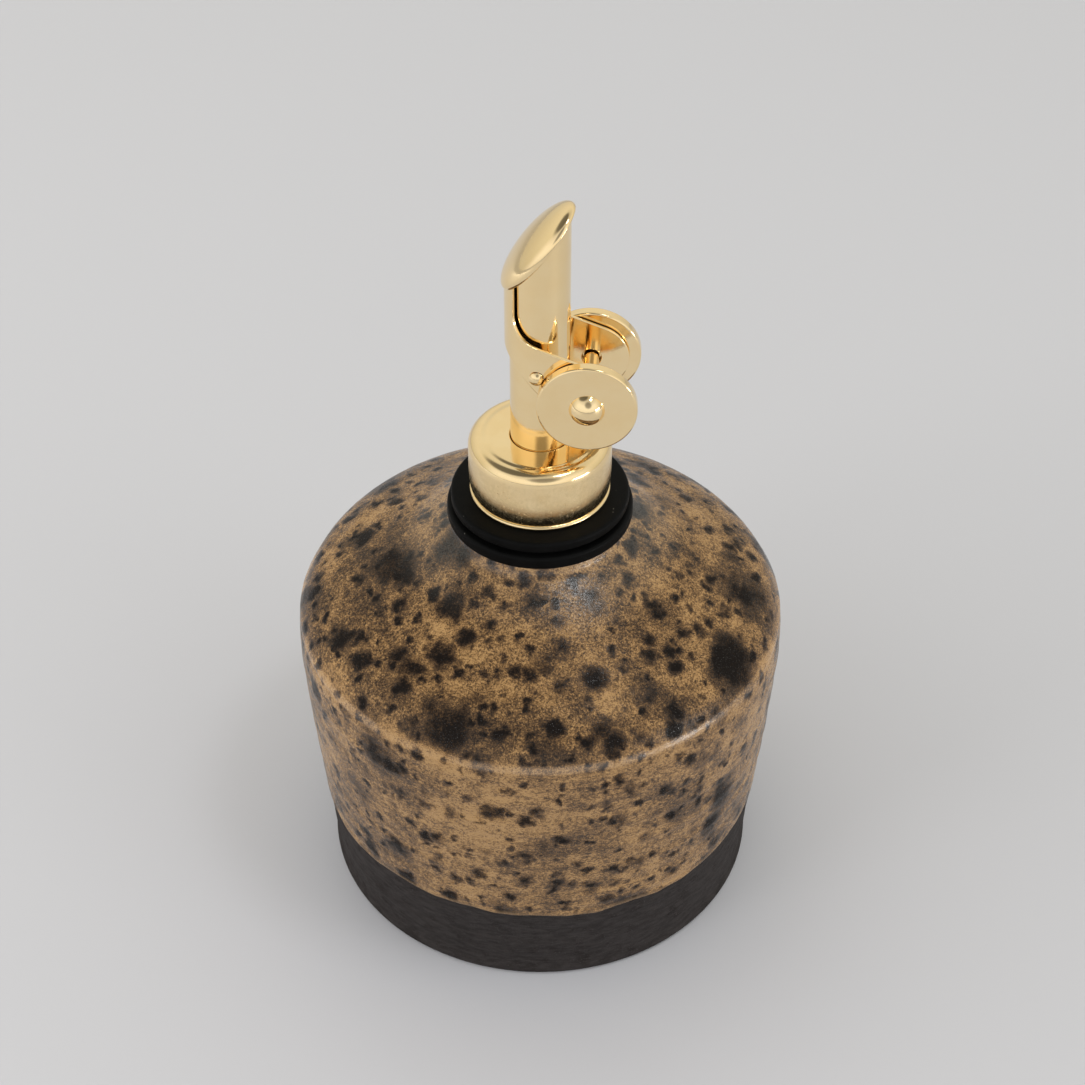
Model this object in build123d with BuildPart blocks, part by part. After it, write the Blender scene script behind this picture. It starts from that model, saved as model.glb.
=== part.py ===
"""Stoneware cruet bottle with a gravity flip-lid pourer.

Frame: +Z up, origin on the bottle axis in the plane the bottle stands on.
+X is the pouring direction, Y is the direction of the lid's hinge axis.
All lengths in millimetres.
"""
import math
import os

from build123d import *

os.makedirs("parts", exist_ok=True)

# ----------------------------------------------------------------- dimensions
# bottle
BASE_R = 42.0            # radius of the foot at the table
FOOT_IN = 31.0           # inner radius of the trimmed foot ring
FOOT_RECESS = 1.8        # depth of the recess inside the foot ring
MOUTH_Z = 82.5           # height of the mouth
NECK_R = 15.8            # outer radius of the short neck
BORE_R = 11.0            # bore that takes the stopper
FLOOR_T = 6.5            # height of the inside floor

# stopper
RIM_R, RIM_Z0, RIM_Z1 = 17.05, 82.6, 85.1      # wide lower rim of the flange
DISC_R, DISC_Z0, DISC_Z1 = 16.3, 85.9, 87.9    # upper disc of the flange
GROOVE_R = 15.2                                # waist between the two
RIB_R = 10.9                                   # sealing ribs, 0.1 inside the bore
PLUG_R = 9.4                                   # core between the ribs
PLUG_Z = 64.0                                  # lower end of the plug
BOSS_R = 11.7                                  # boss that fills the collar

# collar
COL_Z0, COL_Z1 = 87.9, 100.2
COL_T = 0.9

# spout tube
TUBE_R, TUBE_RI = 5.3, 4.6
TUBE_Z0 = 61.0
MOUTH_ANGLE = 52.3       # slant of the pouring mouth
MOUTH_H = 139.37         # height of the mouth plane on the tube axis

# breather tube inside the spout tube
VENT_R, VENT_RI = 1.3, 0.9
VENT_X = -(TUBE_RI - VENT_R)
VENT_Z0, VENT_Z1 = 56.0, 127.0

# flip lid: one stamping, a U-shaped saddle, a strip up the back and a domed lid
PIV_X, PIV_Z = -0.1, 117.3
U_CX = 0.7               # centre of the U bend
U_RO, U_RI = 6.85, 6.2   # outer and inner radius of the bend, and of the arms
STRIP_X = -4.2           # edges of the back strip
EAR_X, EAR_Z, EAR_R = 8.7, 112.8, 6.7
ARM_SLOPE = 0.40         # fall of the arm's upper edge
LID_GAP = 0.2            # lid rim above the mouth plane
LID_A, LID_B = 9.8, 7.0  # half length and half width of the lid's rim
LID_CX = 0.2
LID_RIM, LID_CROWN, LID_T = 0.4, 2.75, 0.9
PIV_HOLE = 1.05

# pivot rivets
PIN_R, PIN_HEAD_R, PIN_HEAD_H = 1.0, 1.35, 0.75
PIN_Y0, PIN_Y1 = 4.3, 6.95

# counterweights and the rivet that carries them
W_R, W_Y0, W_Y1 = 8.75, 7.15, 9.25
BAR_R, BAR_HOLE = 1.4, 1.7
HEAD_R, HEAD_H = 3.1, 2.1

# --------------------------------------------------------------------- bottle
outer_wall = [
    (BASE_R - 0.05, 1.2), (42.94, 12.5), (43.99, 25.0), (45.1, 38.0), (45.9, 50.5),
    (46.05, 57.0), (45.72, 60.0), (44.9, 62.3), (43.0, 65.0), (34.0, 70.6), (24.05, 76.1),
    (18.2, 79.6), (16.2, 81.2),
]
inner_wall = [
    (37.4, 11.5), (39.2, 25.0), (40.3, 38.0), (41.0, 50.0), (40.9, 56.0),
    (39.6, 59.6), (36.2, 62.6), (28.0, 66.8), (18.0, 70.8),
]
with BuildPart() as bottle:
    with BuildSketch(Plane.XZ):
        with BuildLine():
            Polyline((0, FLOOR_T), (0, FOOT_RECESS), (FOOT_IN - 1.8, FOOT_RECESS),
                     (FOOT_IN, 0), (BASE_R - 1.2, 0))
            ThreePointArc((BASE_R - 1.2, 0), (BASE_R - 0.38, 0.38), outer_wall[0])
            Spline(*outer_wall, tangents=[(0.09, 1.0), (-0.65, 1.0)])
            Polyline(outer_wall[-1], (NECK_R, MOUTH_Z - 0.7), (NECK_R - 0.7, MOUTH_Z),
                     (BORE_R + 0.6, MOUTH_Z), (BORE_R, MOUTH_Z - 0.6), (BORE_R, 73.2),
                     (12.2, 72.2), inner_wall[-1])
            Spline(*reversed(inner_wall))
            ThreePointArc(inner_wall[0], (36.0, 8.0), (32.5, FLOOR_T))
            Line((32.5, FLOOR_T), (0, FLOOR_T))
        make_face()
    revolve(axis=Axis.Z)
bottle.part.label = "bottle"
export_step(bottle.part, "parts/bottle.step")

# -------------------------------------------------------------------- stopper
rib_z = [79.6, 75.8, 72.0, 68.2]       # undersides of the sealing ribs
plug_profile = [(PLUG_R, RIM_Z0)]
for z in rib_z:
    plug_profile += [(PLUG_R, z + 2.0), (RIB_R, z + 1.3), (RIB_R - 0.25, z + 0.5), (PLUG_R, z)]
with BuildPart() as stopper:
    with BuildSketch(Plane.XZ):
        with BuildLine():
            Polyline(
                (TUBE_R, COL_Z1 - COL_T), (BOSS_R - 1.6, COL_Z1 - COL_T),
                (BOSS_R, COL_Z1 - COL_T - 1.8), (BOSS_R, DISC_Z1),
                (DISC_R - 0.5, DISC_Z1), (DISC_R - 0.12, DISC_Z1 - 0.14), (DISC_R, DISC_Z1 - 0.5),
                (DISC_R, DISC_Z0 + 0.35), (DISC_R - 0.3, DISC_Z0), (GROOVE_R, DISC_Z0),
                (GROOVE_R, RIM_Z1), (RIM_R - 0.5, RIM_Z1), (RIM_R - 0.12, RIM_Z1 - 0.14),
                (RIM_R, RIM_Z1 - 0.5), (RIM_R, RIM_Z0 + 0.5), (RIM_R - 0.5, RIM_Z0),
                *plug_profile,
                (PLUG_R - 0.4, PLUG_Z + 1.2), (PLUG_R - 1.4, PLUG_Z), (TUBE_R, PLUG_Z),
                close=True,
            )
        make_face()
    revolve(axis=Axis.Z)
stopper.part.label = "stopper"
export_step(stopper.part, "parts/stopper.step")

# --------------------------------------------------------------------- collar
with BuildPart() as collar:
    with BuildSketch(Plane.XZ):
        with BuildLine():
            Polyline((BOSS_R, COL_Z0), (12.45, COL_Z0))
            ThreePointArc((12.45, COL_Z0), (12.85, COL_Z0 + 0.45), (12.52, COL_Z0 + 0.95))
            Spline((12.52, COL_Z0 + 0.95), (12.7, COL_Z0 + 1.75), (12.84, COL_Z0 + 2.9),
                   (12.95, COL_Z1 - 2.3), tangents=[(0.22, 1.0), (0.01, 1.0)])
            ThreePointArc((12.95, COL_Z1 - 2.3), (12.27, COL_Z1 - 0.72), (10.7, COL_Z1 - 0.1))
            Spline((10.7, COL_Z1 - 0.1), (8.5, COL_Z1 - 0.02), (7.0, COL_Z1),
                   tangents=[(-1.0, 0.06), (-1.0, 0.0)])
            Line((7.0, COL_Z1), (TUBE_R + 0.35, COL_Z1))
            ThreePointArc((TUBE_R + 0.35, COL_Z1), (TUBE_R + 0.17, COL_Z1 - 0.07),
                          (TUBE_R + 0.1, COL_Z1 - 0.25))
            Polyline((TUBE_R + 0.1, COL_Z1 - 0.25), (TUBE_R + 0.1, COL_Z1 - COL_T),
                     (BOSS_R - 1.6, COL_Z1 - COL_T), (BOSS_R, COL_Z1 - COL_T - 1.8),
                     (BOSS_R, COL_Z0))
        make_face()
    revolve(axis=Axis.Z)
collar.part.label = "collar"
export_step(collar.part, "parts/collar.step")

# ----------------------------------------------------------------- spout tube
ca, sa = math.cos(math.radians(MOUTH_ANGLE)), math.sin(math.radians(MOUTH_ANGLE))
mouth_plane = Plane(origin=(0, 0, MOUTH_H), x_dir=(ca, 0, sa), z_dir=(-sa, 0, ca))
pivot_plane = Plane(origin=(PIV_X, 0, PIV_Z), x_dir=(1, 0, 0), z_dir=(0, -1, 0))
with BuildPart() as spout_tube:
    with BuildSketch(Plane.XY.offset(TUBE_Z0)):
        Circle(TUBE_R)
        Circle(TUBE_RI, mode=Mode.SUBTRACT)
    extrude(amount=95)
    split(bisect_by=mouth_plane, keep=Keep.BOTTOM)
    with BuildSketch(pivot_plane):
        Circle(PIN_R)
    extrude(amount=12, both=True, mode=Mode.SUBTRACT)
spout_tube.part.label = "spout_tube"
export_step(spout_tube.part, "parts/spout_tube.step")

# -------------------------------------------------------------- breather tube
with BuildPart() as vent_tube:
    with BuildSketch(Plane.XY.offset(VENT_Z0)):
        with Locations((VENT_X, 0)):
            Circle(VENT_R)
            Circle(VENT_RI, mode=Mode.SUBTRACT)
    extrude(amount=VENT_Z1 - VENT_Z0)
vent_tube.part.label = "vent_tube"
export_step(vent_tube.part, "parts/vent_tube.step")

# --------------------------------------------------------------- pivot rivets
def pivot_rivet(side):
    plane = Plane(origin=(PIV_X, 0, PIV_Z), x_dir=(1, 0, 0), z_dir=(0, side, 0))
    head_rad = (PIN_HEAD_R ** 2 + PIN_HEAD_H ** 2) / (2 * PIN_HEAD_H)
    mid = math.asin(PIN_HEAD_R / head_rad) / 2
    # half section of the rivet: along its axis from the tube bore to the head
    section = Plane(origin=plane.origin, x_dir=(1, 0, 0), z_dir=(0, 0, side))
    with BuildPart() as rivet:
        with BuildSketch(section):
            with BuildLine():
                Polyline((0, PIN_Y0), (PIN_R, PIN_Y0), (PIN_R, PIN_Y1), (PIN_HEAD_R, PIN_Y1))
                ThreePointArc(
                    (PIN_HEAD_R, PIN_Y1),
                    (head_rad * math.sin(mid), PIN_Y1 + PIN_HEAD_H - head_rad * (1 - math.cos(mid))),
                    (0, PIN_Y1 + PIN_HEAD_H),
                )
                Line((0, PIN_Y1 + PIN_HEAD_H), (0, PIN_Y0))
            make_face()
        revolve(axis=Axis(plane.origin, plane.z_dir))
    return rivet.part


for name, side in (("near_pivot_rivet", -1), ("far_pivot_rivet", 1)):
    rivet_part = pivot_rivet(side)
    rivet_part.label = name
    export_step(rivet_part, f"parts/{name}.step")

# ------------------------------------------------------------------- flip lid
lid_plane = Plane(
    origin=(LID_CX - LID_GAP * sa, 0, MOUTH_H + LID_CX * sa / ca + LID_GAP * ca),
    x_dir=(ca, 0, sa), z_dir=(-sa, 0, ca),
)
# the lid is a flattened ellipsoid with its underside cut flat, hollowed from below
dome_plane = lid_plane.offset(LID_RIM)
dome = split(
    scale(Sphere(1), by=(LID_A, LID_B, LID_CROWN)),
    bisect_by=Plane.XY.offset(-LID_RIM), keep=Keep.TOP,
)
dome = dome_plane * dome
hollow = dome_plane * scale(Sphere(1), by=(LID_A - LID_T, LID_B - LID_T, LID_CROWN - LID_T))

# side view of the stamping: ear circle, arm and strip
fall = math.atan(ARM_SLOPE)
top_pt = (EAR_X + EAR_R * math.sin(fall), EAR_Z + EAR_R * math.cos(fall))
corner_z = top_pt[1] + ARM_SLOPE * (top_pt[0] - STRIP_X)
LOW_A = (-7.2, PIV_Z + 5.2)                    # lower edge at the back of the tube
LOW_B = (0.4, PIV_Z - 3.7)                     # lower edge under the pivot
with BuildPart() as flip_lid:
    with BuildSketch(Plane.XY.offset(100)):
        with BuildLine():
            Polyline((U_CX, U_RO), (20, U_RO), (20, U_RI), (U_CX, U_RI))
            ThreePointArc((U_CX, U_RI), (U_CX - U_RI, 0), (U_CX, -U_RI))
            Polyline((U_CX, -U_RI), (20, -U_RI), (20, -U_RO), (U_CX, -U_RO))
            ThreePointArc((U_CX, -U_RO), (U_CX - U_RO, 0), (U_CX, U_RO))
        make_face()
    extrude(amount=50)
    with BuildSketch(Plane.XZ) as side_view:
        with BuildLine():
            FilletPolyline(
                (STRIP_X, 150), (STRIP_X, corner_z), top_pt,
                radius=5.0,
            )
            ThreePointArc(
                top_pt, (EAR_X + EAR_R, EAR_Z),
                (EAR_X - EAR_R * math.sin(math.radians(35)), EAR_Z - EAR_R * math.cos(math.radians(35))),
            )
            FilletPolyline(
                (EAR_X - EAR_R * math.sin(math.radians(35)), EAR_Z - EAR_R * math.cos(math.radians(35))),
                (2.1, EAR_Z - 1.3), LOW_B, LOW_A, radius=2.0,
            )
            Polyline(LOW_A, (-9.0, LOW_A[1]), (-9.0, 150), (STRIP_X, 150))
        make_face()
    extrude(amount=12, both=True, mode=Mode.INTERSECT)
    split(bisect_by=lid_plane.offset(LID_RIM * 0.5), keep=Keep.BOTTOM)
    add(dome)
    add(hollow, mode=Mode.SUBTRACT)
    with BuildSketch(pivot_plane):
        Circle(PIV_HOLE)
        with Locations((EAR_X - PIV_X, EAR_Z - PIV_Z)):
            Circle(BAR_HOLE)
    extrude(amount=12, both=True, mode=Mode.SUBTRACT)
flip_lid.part.label = "flip_lid"
export_step(flip_lid.part, "parts/flip_lid.step")

# ------------------------------------------------------------- counterweights
def weight(side):
    plane = Plane(origin=(EAR_X, side * W_Y0, EAR_Z), x_dir=(1, 0, 0), z_dir=(0, side, 0))
    with BuildPart() as disc:
        with BuildSketch(plane):
            Circle(W_R)
            Circle(BAR_R, mode=Mode.SUBTRACT)
        extrude(amount=W_Y1 - W_Y0)
        rims = disc.edges().filter_by(GeomType.CIRCLE).filter_by(lambda e: e.radius > W_R - 0.01)
        fillet(rims, 0.4)
    return disc.part


for name, side in (("near_weight", -1), ("far_weight", 1)):
    disc_part = weight(side)
    disc_part.label = name
    export_step(disc_part, f"parts/{name}.step")

# -------------------------------------- crossbar rivet with two domed heads
cap_rad = (HEAD_R ** 2 + HEAD_H ** 2) / (2 * HEAD_H)
cap_mid = math.asin(min(1.0, HEAD_R / cap_rad)) / 2
bar_plane = Plane(origin=(EAR_X, 0, EAR_Z), x_dir=(1, 0, 0), z_dir=(0, 0, -1))
with BuildPart() as weight_rivet:
    with BuildSketch(bar_plane):
        with BuildLine():
            ThreePointArc((0, W_Y1 + HEAD_H),
                          (cap_rad * math.sin(cap_mid), W_Y1 + HEAD_H - cap_rad * (1 - math.cos(cap_mid))),
                          (HEAD_R, W_Y1))
            Polyline((HEAD_R, W_Y1), (BAR_R, W_Y1), (BAR_R, -W_Y1), (HEAD_R, -W_Y1))
            ThreePointArc((HEAD_R, -W_Y1),
                          (cap_rad * math.sin(cap_mid), -W_Y1 - HEAD_H + cap_rad * (1 - math.cos(cap_mid))),
                          (0, -W_Y1 - HEAD_H))
            Line((0, -W_Y1 - HEAD_H), (0, W_Y1 + HEAD_H))
        make_face()
    revolve(axis=Axis((EAR_X, 0, EAR_Z), (0, 1, 0)))
weight_rivet.part.label = "weight_rivet"
export_step(weight_rivet.part, "parts/weight_rivet.step")
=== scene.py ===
"""Looks for the stoneware cruet bottle with a gravity flip-lid pourer.

Everything is in metres in the part's own frame; the profile numbers below are in millimetres.
"""

import math

import bmesh
import bpy
import numpy as np
from mathutils import Matrix, Vector, geometry, noise

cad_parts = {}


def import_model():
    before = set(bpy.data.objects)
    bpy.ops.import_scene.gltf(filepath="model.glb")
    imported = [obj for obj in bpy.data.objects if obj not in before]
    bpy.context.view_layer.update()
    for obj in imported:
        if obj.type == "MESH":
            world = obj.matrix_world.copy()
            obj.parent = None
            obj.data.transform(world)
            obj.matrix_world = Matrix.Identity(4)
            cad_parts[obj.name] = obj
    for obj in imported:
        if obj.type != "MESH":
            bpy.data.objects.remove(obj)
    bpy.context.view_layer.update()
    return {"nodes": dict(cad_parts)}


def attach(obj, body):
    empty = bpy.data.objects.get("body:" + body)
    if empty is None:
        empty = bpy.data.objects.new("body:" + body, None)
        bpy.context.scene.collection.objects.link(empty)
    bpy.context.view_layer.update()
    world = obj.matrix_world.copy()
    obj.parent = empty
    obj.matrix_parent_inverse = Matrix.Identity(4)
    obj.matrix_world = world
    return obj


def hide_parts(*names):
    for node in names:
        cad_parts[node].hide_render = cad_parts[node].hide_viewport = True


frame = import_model()
NODES = frame["nodes"]
MM = 0.001
scene = bpy.context.scene


# ------------------------------------------------------------------ node graphs
class Graph:
    """A small helper around one material's nodes."""

    def __init__(self, name):
        self.mat = bpy.data.materials.new(name)
        self.mat.use_nodes = True
        self.nt = self.mat.node_tree
        self.bsdf = next(n for n in self.nt.nodes if n.type == "BSDF_PRINCIPLED")

    def new(self, kind, **props):
        n = self.nt.nodes.new(kind)
        for k, v in props.items():
            setattr(n, k, v)
        return n

    def put(self, sock, value):
        if isinstance(value, bpy.types.NodeSocket):
            self.nt.links.new(value, sock)
        elif value is not None:
            sock.default_value = value

    def set(self, name, value):
        self.put(self.bsdf.inputs[name], value)

    def math(self, op, a, b=None, c=None, clamp=False):
        n = self.new("ShaderNodeMath", operation=op, use_clamp=clamp)
        for s, v in zip(n.inputs, (a, b, c)):
            self.put(s, v)
        return n.outputs[0]

    def vmath(self, op, a, b=None):
        n = self.new("ShaderNodeVectorMath", operation=op)
        self.put(n.inputs[0], a)
        if op == "SCALE":
            self.put(n.inputs["Scale"], b)
        else:
            self.put(n.inputs[1], b)
        return n.outputs[0]

    def coords(self, scale=(1000, 1000, 1000)):
        tc = self.new("ShaderNodeTexCoord")
        mp = self.new("ShaderNodeMapping")
        mp.inputs["Scale"].default_value = scale
        self.put(mp.inputs["Vector"], tc.outputs["Object"])
        return mp.outputs[0]

    def stretch(self, vec, scale, move=(0, 0, 0)):
        mp = self.new("ShaderNodeMapping")
        mp.inputs["Scale"].default_value = scale
        mp.inputs["Location"].default_value = move
        self.put(mp.inputs["Vector"], vec)
        return mp.outputs[0]

    def noise(self, vec, scale, detail=2.0, rough=0.5, distort=0.0, colour=False):
        n = self.new("ShaderNodeTexNoise", noise_dimensions="3D")
        self.put(n.inputs["Vector"], vec)
        n.inputs["Scale"].default_value = scale
        n.inputs["Detail"].default_value = detail
        n.inputs["Roughness"].default_value = rough
        n.inputs["Distortion"].default_value = distort
        return n.outputs["Color"] if colour else n.outputs[0]

    def cells(self, vec, cell, randomness=1.0):
        n = self.new("ShaderNodeTexVoronoi", voronoi_dimensions="3D", feature="F1")
        self.put(n.inputs["Vector"], vec)
        n.inputs["Scale"].default_value = 1.0 / cell
        n.inputs["Randomness"].default_value = randomness
        # distance comes out in cell units
        return self.math("MULTIPLY", n.outputs["Distance"], cell), n.outputs["Color"]

    def range(self, x, lo, hi, to_lo=0.0, to_hi=1.0, smooth=True):
        n = self.new("ShaderNodeMapRange", interpolation_type="SMOOTHSTEP" if smooth else "LINEAR")
        n.clamp = True
        for s, v in zip(n.inputs, (x, lo, hi, to_lo, to_hi)):
            self.put(s, v)
        return n.outputs[0]

    def mix(self, fac, a, b, blend="MIX"):
        n = self.new("ShaderNodeMix", data_type="RGBA", blend_type=blend)
        self.put(n.inputs[0], fac)
        for s, v in ((n.inputs[6], a), (n.inputs[7], b)):
            self.put(s, (*v, 1.0) if isinstance(v, tuple) and len(v) == 3 else v)
        return n.outputs[2]

    def red(self, colour):
        n = self.new("ShaderNodeSeparateColor")
        self.put(n.inputs[0], colour)
        return n.outputs[0]

    def green(self, colour):
        n = self.new("ShaderNodeSeparateColor")
        self.put(n.inputs[0], colour)
        return n.outputs[1]

    def xyz(self, vec):
        n = self.new("ShaderNodeSeparateXYZ")
        self.put(n.inputs[0], vec)
        return n.outputs

    def attr(self, name):
        n = self.new("ShaderNodeAttribute")
        n.attribute_name = name
        return n.outputs["Fac"]

    def bump(self, height, strength, distance, normal=None):
        n = self.new("ShaderNodeBump")
        n.inputs["Strength"].default_value = strength
        n.inputs["Distance"].default_value = distance
        self.put(n.inputs["Height"], height)
        self.put(n.inputs["Normal"], normal)
        return n.outputs[0]


def glaze_material():
    g = Graph("mottled_glaze")
    p = g.coords()
    z = g.xyz(p)[2]
    edge = g.attr("above_glaze_edge")          # millimetres above the glaze's lower edge
    wall = g.range(z, 65.0, 57.0)              # 1 on the upright wall, 0 on the dome
    ridge = g.math("MULTIPLY", g.range(z, 55.5, 60.0), g.range(z, 62.2, 60.6))
    above = g.math("MULTIPLY", g.range(z, 61.2, 63.4), g.range(z, 73.0, 65.5))

    def centred(x, gain):
        return g.math("MULTIPLY", g.math("SUBTRACT", x, 0.5), gain)

    def warped(scale, amount, detail=2.0):
        w = g.vmath("SUBTRACT", g.noise(p, scale, detail, 0.55, colour=True), (0.5, 0.5, 0.5))
        return g.vmath("ADD", p, g.vmath("SCALE", w, amount))

    p_slow, p_mid, p_big = warped(0.075, 9.0), warped(0.42, 3.6, 3.0), warped(0.17, 8.0, 3.0)

    # grain: the ochre shows through a dark stipple; on the wall it is drawn out level by the wheel
    grain_dome = g.noise(p, 2.3, 4.0, 0.74)
    grain_wall = g.noise(g.stretch(p, (0.70, 0.70, 1.2)), 2.3, 4.0, 0.74)
    grain = g.math("ADD", g.math("MULTIPLY", grain_dome, g.math("SUBTRACT", 1.0, wall)),
                   g.math("MULTIPLY", grain_wall, wall))
    speck = g.noise(p, 5.2, 1.0, 0.5)
    streak = g.noise(g.stretch(p, (0.07, 0.07, 0.75)), 1.0, 3.0, 0.6)

    # where the stipple lies thick or thin, with painted light added: lighter on the ridge's crest and on the wall
    cloud_big = g.noise(p_slow, 0.05, 2.0, 0.5)
    cloud_mid = g.noise(p_mid, 0.17, 2.0, 0.55)
    cloud_low = g.noise(p_mid, 0.55, 2.0, 0.55)
    stipple_and_light = g.math("ADD", g.math("ADD", centred(cloud_big, 1.3), centred(cloud_mid, 1.3)),
                     centred(cloud_low, 0.95))
    stipple_and_light = g.math("ADD", stipple_and_light, g.math("MULTIPLY", centred(streak, 0.85), wall))
    stipple_and_light = g.math("SUBTRACT", stipple_and_light, g.math("MULTIPLY", ridge, 0.15))
    stipple_and_light = g.math("ADD", stipple_and_light, g.math("MULTIPLY", above, 0.16))
    # painted highlight: the colour is lightened along the shoulder ridge's crest, standing in for the light line it
    # catches; the same mask also makes the glaze glossier there
    crest = g.math("MULTIPLY", g.range(z, 59.6, 60.3), g.range(z, 61.7, 60.9))
    crest = g.math("MULTIPLY", crest, g.range(cloud_mid, 0.36, 0.58, 0.25, 1.0))
    stipple_and_light = g.math("SUBTRACT", stipple_and_light, g.math("MULTIPLY", crest, 0.22))
    # painted light: the upright wall is made lighter, for the low side light and floor bounce it gets
    stipple_and_light = g.math("SUBTRACT", stipple_and_light, g.math("MULTIPLY", wall, 0.07))

    def spots(vec, cell, radius, soft, share, ragged, amount):
        """One family of dark spots that fade out into the stipple."""
        d, tint = g.cells(vec, cell, 0.8)
        d = g.math("ADD", d, centred(grain, ragged))
        d = g.math("ADD", d, centred(cloud_low, 1.2 * ragged))
        keep = g.math("LESS_THAN", g.red(tint), share)
        size = g.math("MULTIPLY_ADD", g.green(tint), 0.6 * radius, 0.4 * radius)
        size = g.math("MULTIPLY", size, g.math("MULTIPLY_ADD", wall, -0.14, 1.0))
        inside = g.math("SUBTRACT", size, d)
        core = g.range(inside, -1.5 * soft - 0.25 * radius, 1.6 * soft + 0.12 * radius)
        halo = g.range(inside, -1.1 * radius, 0.4 * radius)
        core = g.math("ADD", g.math("MULTIPLY", core, 1.0 * amount), g.math("MULTIPLY", halo, 0.30 * amount))
        return g.math("MULTIPLY", core, keep)

    families = [spots(p_big, 17.5, 4.5, 1.3, 0.68, 4.2, 0.88),
                spots(p_mid, 8.6, 2.35, 0.8, 0.74, 3.0, 1.0),
                spots(p_mid, 4.9, 1.45, 0.5, 0.80, 2.0, 1.0),
                spots(p_mid, 2.8, 0.80, 0.3, 0.66, 1.4, 0.85)]
    dark = families[0]
    for core in families[1:]:
        dark = g.math("MAXIMUM", dark, core)

    tone = g.math("ADD", g.math("ADD", centred(grain, 3.1), 0.50), stipple_and_light)
    tone = g.math("ADD", tone, centred(speck, 1.35))
    tone = g.math("ADD", tone, dark)
    ramp = g.new("ShaderNodeValToRGB")
    stops = [(0.05, (0.47, 0.285, 0.122)), (0.32, (0.325, 0.187, 0.077)), (0.58, (0.178, 0.102, 0.046)),
             (0.82, (0.088, 0.052, 0.0275)), (1.12, (0.041, 0.0265, 0.0172)), (1.48, (0.0112, 0.0088, 0.0078))]
    els = ramp.color_ramp.elements
    els[0].position, els[0].color = stops[0][0] / 1.5, (*stops[0][1], 1.0)
    els[1].position, els[1].color = stops[-1][0] / 1.5, (*stops[-1][1], 1.0)
    for pos, col in stops[1:-1]:
        els.new(pos / 1.5).color = (*col, 1.0)
    g.put(ramp.inputs[0], g.math("MULTIPLY", tone, 1 / 1.5))
    # greyer and browner on the wall: painted sheen, a greyish brown standing in for the pale floor's low-angle
    # reflection in the upright glaze, kept out of the dark spots
    dull = g.math("MULTIPLY", g.math("MULTIPLY", wall, 0.17), g.math("SUBTRACT", 1.0, dark, clamp=True))
    colour = g.mix(dull, ramp.outputs[0], (0.165, 0.130, 0.108))

    # thin pale line where the glaze ends, bare clay below it
    rim = g.math("MULTIPLY", g.range(edge, 0.0, 0.3), g.range(edge, 1.6, 0.4))
    colour = g.mix(g.math("MULTIPLY", rim, 0.5), colour, (0.27, 0.175, 0.095))
    clay_noise = g.noise(g.stretch(p, (0.30, 0.30, 1.0)), 1.2, 4.0, 0.65)
    clay_fine = g.noise(p, 4.5, 2.0, 0.6)
    clay = g.mix(g.range(clay_noise, 0.3, 0.7), (0.0225, 0.0192, 0.0186), (0.0395, 0.0345, 0.0337))
    clay = g.mix(g.range(clay_fine, 0.62, 0.78), clay, (0.060, 0.048, 0.042))
    bare = g.range(g.math("ADD", edge, centred(grain_dome, 0.6)), 0.14, -0.14)
    colour = g.mix(bare, colour, clay)
    g.set("Base Color", colour)

    gloss = g.noise(p, 3.4, 2.0, 0.6)
    rough = g.math("ADD", g.range(gloss, 0.36, 0.62, 0.13, 0.36), centred(cloud_mid, 0.12))
    rough = g.math("SUBTRACT", rough, g.math("MULTIPLY", dark, 0.05))
    neck = g.math("MULTIPLY", g.range(z, 73.5, 78.5), g.range(gloss, 0.68, 0.38, 0.25, 1.0))
    glassy = g.math("MAXIMUM", neck, crest)
    rough = g.math("SUBTRACT", rough, g.math("MULTIPLY", glassy, 0.09))
    rough = g.math("ADD", g.math("MULTIPLY", rough, g.math("SUBTRACT", 1.0, bare)),
                   g.math("MULTIPLY", bare, 0.80))
    g.set("Roughness", rough)
    g.set("IOR", 1.48)
    glint = g.math("MULTIPLY", g.range(speck, 0.63, 0.74), g.math("MULTIPLY_ADD", dark, 0.60, 0.35))
    sheen = g.range(dark, 0.2, 1.0, 0.14, 0.04)
    g.set("Specular IOR Level", g.math("ADD", g.math("MULTIPLY_ADD", glassy, 0.80, sheen), glint))
    height = g.math("ADD", g.math("MULTIPLY", grain, 1.0), g.math("MULTIPLY", speck, 0.5))
    height = g.math("ADD", height, g.math("MULTIPLY", dark, 0.25))
    height = g.math("ADD", height, g.math("MULTIPLY", g.math("MULTIPLY", streak, 1.2), wall))
    height = g.math("ADD", height, g.math("MULTIPLY", clay_noise, g.math("MULTIPLY", bare, 0.8)))
    g.set("Normal", g.bump(height, 0.7, 0.00007))
    return g.mat


def liner_material():
    g = Graph("liner_glaze")
    p = g.coords()
    n = g.noise(p, 0.12, 4.0, 0.6)
    f = g.noise(p, 1.8, 3.0, 0.7)
    base = g.mix(g.range(n, 0.35, 0.65), (0.10, 0.058, 0.03), (0.16, 0.095, 0.045))
    g.set("Base Color", g.mix(g.range(f, 0.55, 0.75), base, (0.03, 0.02, 0.014)))
    g.set("Roughness", g.range(f, 0.3, 0.7, 0.25, 0.4))
    g.set("Normal", g.bump(f, 0.3, 0.0001))
    return g.mat


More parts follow.
